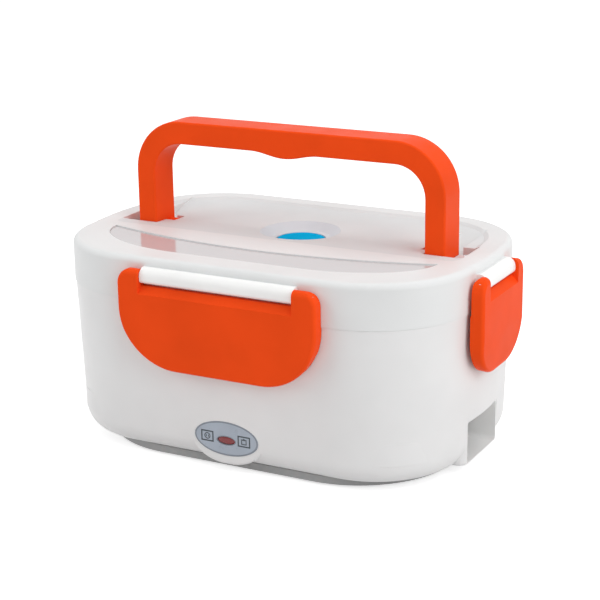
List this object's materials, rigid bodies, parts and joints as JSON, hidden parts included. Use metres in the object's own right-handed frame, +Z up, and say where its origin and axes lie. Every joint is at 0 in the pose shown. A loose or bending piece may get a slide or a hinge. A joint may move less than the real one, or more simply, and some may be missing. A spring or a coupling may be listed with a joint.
{
  "type": "electric lunch box",
  "caption": "Heated lunch box: rounded case with a lift-off lid held by latches, a folding carrying handle, a steam vent, a spoon tray and a recessed mains inlet.",
  "frame": {"origin": "middle of the footprint, on the surface the feet stand on", "axes": "+X along the length to the inlet side, +Y to the back (the spoon tray and the indicator are at the front), +Z up"},
  "size_m": [0.2418, 0.1638, 0.166],
  "materials": {
    "white_plastic": "satin moulded polypropylene",
    "lid_plastic": "satin moulded polypropylene",
    "grey_plastic": "fine moulded grain",
    "dark_plastic": "fine moulded grain",
    "orange_plastic": "satin moulded plastic",
    "blue_silicone": "soft silicone",
    "clear_grey": "polished",
    "silicone": "soft silicone",
    "foot_rubber": "matte",
    "steel": "brushed",
    "aluminium": "cast and turned",
    "ceramic": "fired",
    "board": "lacquered",
    "wire_brown": "insulation",
    "wire_red": "insulation",
    "red_lens": "polished",
    "badge": "satin film"
  },
  "bodies": {
    "case": {"outer_case": "white_plastic", "bottom_cover": "grey_plastic", "cover_screws": "steel", "feet": "foot_rubber", "heating_plate": "aluminium", "plate_seal": "silicone", "heater_element": "ceramic", "heater_clamp": "steel", "clamp_screws": "steel", "thermal_cutout": "dark_plastic", "mains_wires": "wire_brown", "indicator_wires": "wire_red", "indicator_board": "board", "indicator_lens": "red_lens", "badge_plate": "badge", "inlet_socket": "dark_plastic", "inlet_pins": "steel", "inlet_screws": "steel"},
    "container": {"food_container": "steel"},
    "side_dish": {"side_dish_cup": "orange_plastic"},
    "lid": {"lid_shell": "lid_plastic", "lid_liner": "lid_plastic", "liner_screws": "steel", "lid_gasket": "silicone", "latch_pins": "steel", "handle_pins": "steel", "vent_seal": "silicone"},
    "carry_handle": {"handle": "orange_plastic"},
    "latch_front": {"front_latch": "orange_plastic"},
    "latch_back": {"back_latch": "orange_plastic"},
    "latch_left": {"left_latch": "orange_plastic"},
    "latch_right": {"right_latch": "orange_plastic"},
    "vent": {"vent_plug": "blue_silicone"},
    "tray_cover": {"spoon_cover": "clear_grey"},
    "cutlery": {"spoon": "orange_plastic"}
  },
  "joints": [
    {"name": "lid_lift", "type": "slide", "parent": "case", "child": "lid", "axis": [0, 0, 1], "range_m": [0, 0.18]},
    {"name": "container_lift", "type": "slide", "parent": "case", "child": "container", "axis": [0, 0, 1], "range_m": [0, 0.06]},
    {"name": "side_dish_lift", "type": "slide", "parent": "case", "child": "side_dish", "axis": [0, 0, 1], "range_m": [0, 0.12]},
    {"name": "handle_fold", "type": "hinge", "parent": "lid", "child": "carry_handle", "pos_m": [0, 0.0073, 0.104], "axis": [-1, 0, 0], "range_deg": [0, 74]},
    {"name": "front_latch_swing", "type": "hinge", "parent": "lid", "child": "latch_front", "pos_m": [0, -0.0786, 0.1017], "axis": [-1, 0, 0], "range_deg": [0, 110]},
    {"name": "back_latch_swing", "type": "hinge", "parent": "lid", "child": "latch_back", "pos_m": [0, 0.0786, 0.1017], "axis": [1, 0, 0], "range_deg": [0, 110]},
    {"name": "left_latch_swing", "type": "hinge", "parent": "lid", "child": "latch_left", "pos_m": [-0.1176, 0, 0.1017], "axis": [0, 1, 0], "range_deg": [0, 110]},
    {"name": "right_latch_swing", "type": "hinge", "parent": "lid", "child": "latch_right", "pos_m": [0.1176, 0, 0.1017], "axis": [0, -1, 0], "range_deg": [0, 110]},
    {"name": "vent_plug_lift", "type": "slide", "parent": "lid", "child": "vent", "axis": [0, 0, 1], "range_m": [0, 0.006]},
    {"name": "tray_cover_lift", "type": "slide", "parent": "lid", "child": "tray_cover", "axis": [0, 0, 1], "range_m": [0, 0.06]},
    {"name": "spoon_lift", "type": "slide", "parent": "lid", "child": "cutlery", "axis": [0, 0, 1], "range_m": [0, 0.03]}
  ],
  "couplings": [
    {"joint": "container_lift", "follows": "lid_lift", "ratio": 0.3333},
    {"joint": "side_dish_lift", "follows": "lid_lift", "ratio": 0.6666},
    {"joint": "spoon_lift", "follows": "tray_cover_lift", "ratio": 0.5}
  ]
}
